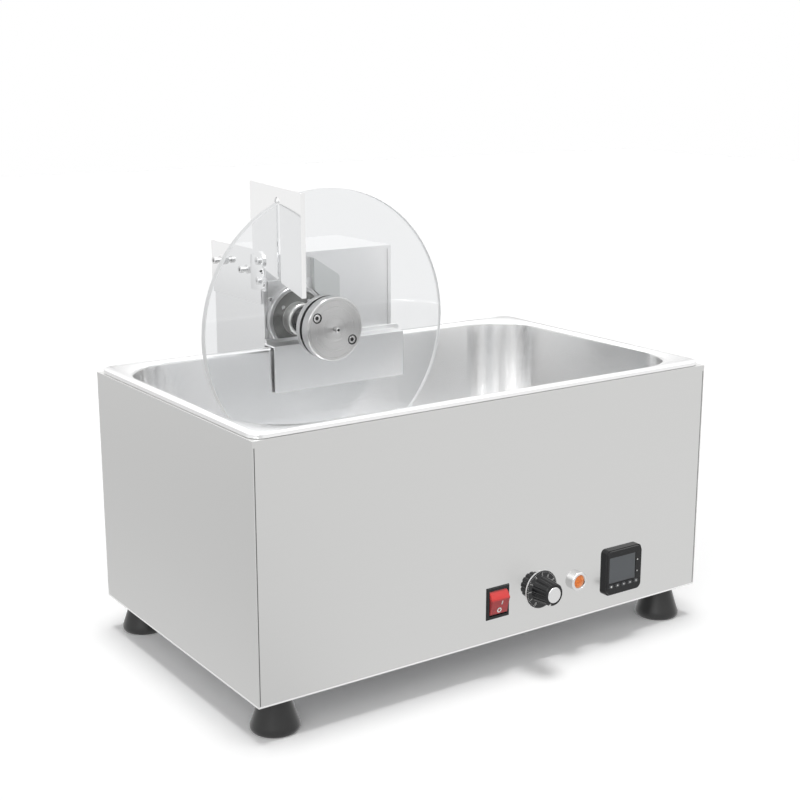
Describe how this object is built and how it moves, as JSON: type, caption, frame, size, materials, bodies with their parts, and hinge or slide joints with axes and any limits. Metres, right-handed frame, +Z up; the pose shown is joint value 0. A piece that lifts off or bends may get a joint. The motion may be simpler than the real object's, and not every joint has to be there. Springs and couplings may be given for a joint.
{
  "type": "chocolate melter",
  "caption": "Tabletop chocolate melter: heated steel cabinet with a lift-out pan, and a hook-on motor unit that turns a clear coating wheel past a slotted scraper.",
  "frame": {"origin": "on the floor, under the middle of the whole object's box", "axes": "+X along the cabinet to the right as seen from the front, +Y to the rear, +Z up"},
  "size_m": [0.53, 0.4802, 0.4595],
  "materials": {
    "housing_steel": "satin",
    "hidden_steel": "galvanised",
    "pan_steel": "polished",
    "plate_steel": "fine brushed",
    "turned_steel": "turned",
    "bright_steel": "bright",
    "cast_alloy": "as cast",
    "bearing_alloy": "satin",
    "motor_paint": "satin",
    "clear_acrylic": "clear",
    "black_rubber": "matte",
    "gasket_rubber": "matte",
    "heater_silicone": "satin",
    "insulation_wool": "fibrous",
    "black_plastic": "satin moulded",
    "grey_plastic": "satin moulded",
    "pale_plastic": "moulded",
    "red_plastic": "gloss",
    "lens_plastic": "translucent gloss",
    "window_plastic": "gloss"
  },
  "bodies": {
    "base": {"housing_shell": "housing_steel", "base_panel": "hidden_steel", "rim_gasket": "gasket_rubber", "heating_well": "hidden_steel", "heater_mat": "heater_silicone", "insulation_pad": "insulation_wool", "heat_shield": "hidden_steel", "temperature_probe": "bright_steel", "foot_front_left": "black_rubber", "foot_front_right": "black_rubber", "foot_rear_left": "black_rubber", "foot_rear_right": "black_rubber", "foot_screws": "bright_steel", "base_screws": "bright_steel", "switch_frame": "black_plastic", "lamp_bezel": "bright_steel", "lamp_lens": "lens_plastic", "controller_case": "black_plastic", "controller_window": "window_plastic", "potentiometer": "cast_alloy", "dial_nut": "bright_steel", "power_supply": "hidden_steel", "relay": "grey_plastic", "terminal_block": "pale_plastic", "cable_gland": "black_plastic"},
    "pan": {"pan": "pan_steel"},
    "wheel_unit": {"saddle_plate": "plate_steel", "mount_plate": "plate_steel", "motor_cover": "plate_steel", "back_panel": "plate_steel", "cover_screws": "bright_steel", "gearbox": "cast_alloy", "motor": "motor_paint", "bearing_plate": "plate_steel", "bearing_ring": "turned_steel", "bearing_housing": "bearing_alloy", "shaft_seal": "black_rubber", "bearing_screws": "bright_steel", "drip_guard": "plate_steel", "scraper_bracket": "plate_steel", "bracket_bolts": "bright_steel", "scraper_plate": "plate_steel", "scraper_screws": "bright_steel", "unit_gland": "black_plastic"},
    "wheel": {"drive_shaft": "turned_steel", "rear_disc": "turned_steel", "coating_wheel": "clear_acrylic", "front_cap": "turned_steel", "cap_screws": "bright_steel", "centre_pin": "turned_steel"},
    "dial": {"dial_knob": "black_plastic", "dial_skirt": "black_plastic", "dial_cap": "bright_steel", "dial_shaft": "turned_steel"},
    "rocker": {"switch_rocker": "red_plastic"},
    "key_1": {"controller_key_1": "grey_plastic"},
    "key_2": {"controller_key_2": "grey_plastic"},
    "key_3": {"controller_key_3": "grey_plastic"},
    "key_4": {"controller_key_4": "grey_plastic"},
    "key_5": {"controller_key_5": "grey_plastic"}
  },
  "joints": [
    {"name": "pan_lift", "type": "slide", "parent": "base", "child": "pan", "axis": [0, 0, 1], "range_m": [0, 0.17]},
    {"name": "unit_lift", "type": "slide", "parent": "pan", "child": "wheel_unit", "axis": [0, 0, 1], "range_m": [0, 0.15]},
    {"name": "wheel_spin", "type": "hinge", "parent": "wheel_unit", "child": "wheel", "pos_m": [-0.033, 0.05345, 0.307], "axis": [0, 1, 0], "continuous": true},
    {"name": "dial_turn", "type": "hinge", "parent": "base", "child": "dial", "pos_m": [0.038, -0.20405, 0.084], "axis": [0, 1, 0], "range_deg": [0, 300]},
    {"name": "rocker_tilt", "type": "hinge", "parent": "base", "child": "rocker", "pos_m": [-0.0035, -0.19755, 0.075], "axis": [-1, 0, 0], "range_deg": [0, 30]},
    {"name": "key_1_press", "type": "slide", "parent": "base", "child": "key_1", "axis": [0, 1, 0], "range_m": [0, 0.0005], "stiffness_N_per_m": 300},
    {"name": "key_2_press", "type": "slide", "parent": "base", "child": "key_2", "axis": [0, 1, 0], "range_m": [0, 0.0005], "stiffness_N_per_m": 300},
    {"name": "key_3_press", "type": "slide", "parent": "base", "child": "key_3", "axis": [0, 1, 0], "range_m": [0, 0.0005], "stiffness_N_per_m": 300},
    {"name": "key_4_press", "type": "slide", "parent": "base", "child": "key_4", "axis": [0, 1, 0], "range_m": [0, 0.0005], "stiffness_N_per_m": 300},
    {"name": "key_5_press", "type": "slide", "parent": "base", "child": "key_5", "axis": [0, 1, 0], "range_m": [0, 0.0005], "stiffness_N_per_m": 300}
  ]
}
